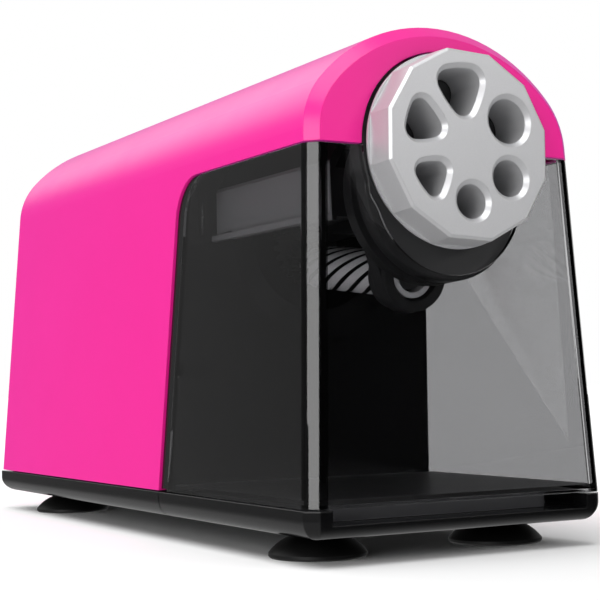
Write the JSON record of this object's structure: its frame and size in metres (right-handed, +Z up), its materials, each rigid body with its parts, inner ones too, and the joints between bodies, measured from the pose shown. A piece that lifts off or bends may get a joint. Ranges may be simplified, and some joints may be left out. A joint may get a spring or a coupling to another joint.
{
  "type": "electric pencil sharpener",
  "caption": "Electric pencil sharpener: arched shell over a clear shavings bin, a turning hole dial in front and a geared helical cutter that orbits the pencil, on suction feet.",
  "frame": {"origin": "on the table, under the middle of the whole object", "axes": "+X to the right seen from the front, +Y from the dial towards the rear, +Z up"},
  "size_m": [0.0864, 0.2274, 0.1294],
  "materials": {
    "pink_shell": "satin moulded pink",
    "black_gloss": "gloss black moulding",
    "smoked_clear": "polished smoked clear moulding",
    "silver_paint": "silver paint on plastic",
    "black_plastic": "fine matt black",
    "black_rubber": "soft black rubber",
    "white_nylon": "natural nylon",
    "steel": "bright turned steel",
    "brass": "turned brass",
    "green_board": "solder mask green"
  },
  "bodies": {
    "body": {"upper_housing": "pink_shell", "front_base": "black_gloss", "rear_base": "black_gloss", "foot_front_left": "black_rubber", "foot_front_right": "black_rubber", "foot_rear_left": "black_rubber", "foot_rear_right": "black_rubber", "dial_collar": "black_plastic", "pencil_guide": "black_plastic", "lever_pin": "steel", "start_switch": "black_plastic", "cutter_shroud": "black_plastic", "chassis": "black_plastic", "ring_case": "black_plastic", "ring_gear": "steel", "front_bush": "brass", "rear_bush": "brass", "idler_axle": "steel", "gear_plate": "steel", "gear_pillars": "steel", "plate_screws": "steel", "motor_can": "steel", "motor_end_bell": "black_plastic", "motor_screws": "steel", "interlock_switch": "black_plastic", "circuit_board": "green_board", "board_parts": "black_plastic", "cord_gland": "black_plastic", "base_screws": "steel", "chassis_screws": "steel"},
    "bin": {"receptacle": "smoked_clear"},
    "dial": {"selector_dial": "silver_paint", "dial_insert": "silver_paint", "dial_clip": "steel"},
    "carrier": {"cutter_carrier": "black_plastic", "carrier_shaft": "steel", "carrier_gear": "white_nylon", "cutter_axle": "steel", "axle_ring": "steel", "axle_clip": "steel"},
    "cutter": {"helical_cutter": "steel", "cutter_pinion": "steel"},
    "idler": {"idler_gear": "white_nylon", "idler_pinion": "white_nylon"},
    "rotor": {"motor_shaft": "steel", "motor_pinion": "brass", "motor_fan": "black_plastic"},
    "lever": {"start_lever": "black_plastic"},
    "button": {"interlock_button": "black_plastic"}
  },
  "joints": [
    {"name": "bin_slide", "type": "slide", "parent": "body", "child": "bin", "axis": [0, -1, 0], "range_m": [0, 0.09]},
    {"name": "dial_turn", "type": "hinge", "parent": "body", "child": "dial", "pos_m": [0, -0.10318, 0.09795], "axis": [0, -0.9988, 0.0488], "continuous": true},
    {"name": "carrier_spin", "type": "hinge", "parent": "body", "child": "carrier", "pos_m": [0, -0.10385, 0.08427], "axis": [0, -0.9988, 0.0488], "continuous": true},
    {"name": "cutter_spin", "type": "hinge", "parent": "carrier", "child": "cutter", "pos_m": [0, -0.08729, 0.06884], "axis": [0, -0.9928, -0.1201], "continuous": true},
    {"name": "idler_spin", "type": "hinge", "parent": "body", "child": "idler", "pos_m": [0.01292, -0.10541, 0.05232], "axis": [0, -0.9988, 0.0488], "continuous": true},
    {"name": "motor_spin", "type": "hinge", "parent": "body", "child": "rotor", "pos_m": [-0.01433, -0.10582, 0.04399], "axis": [0, -0.9988, 0.0488], "continuous": true},
    {"name": "start_tip", "type": "hinge", "parent": "body", "child": "lever", "pos_m": [-0.012, -0.09486, 0.08383], "axis": [0, 0.0488, 0.9988], "range_deg": [0, 10], "stiffness_Nm_per_rad": 0.002},
    {"name": "button_push", "type": "slide", "parent": "body", "child": "button", "axis": [0, -1, 0], "range_m": [0, 0.0025]}
  ],
  "couplings": [
    {"joint": "cutter_spin", "follows": "carrier_spin", "ratio": -2},
    {"joint": "idler_spin", "follows": "carrier_spin", "ratio": -3.6},
    {"joint": "motor_spin", "follows": "carrier_spin", "ratio": 13.5},
    {"joint": "button_push", "follows": "bin_slide", "ratio": 0.027777}
  ]
}
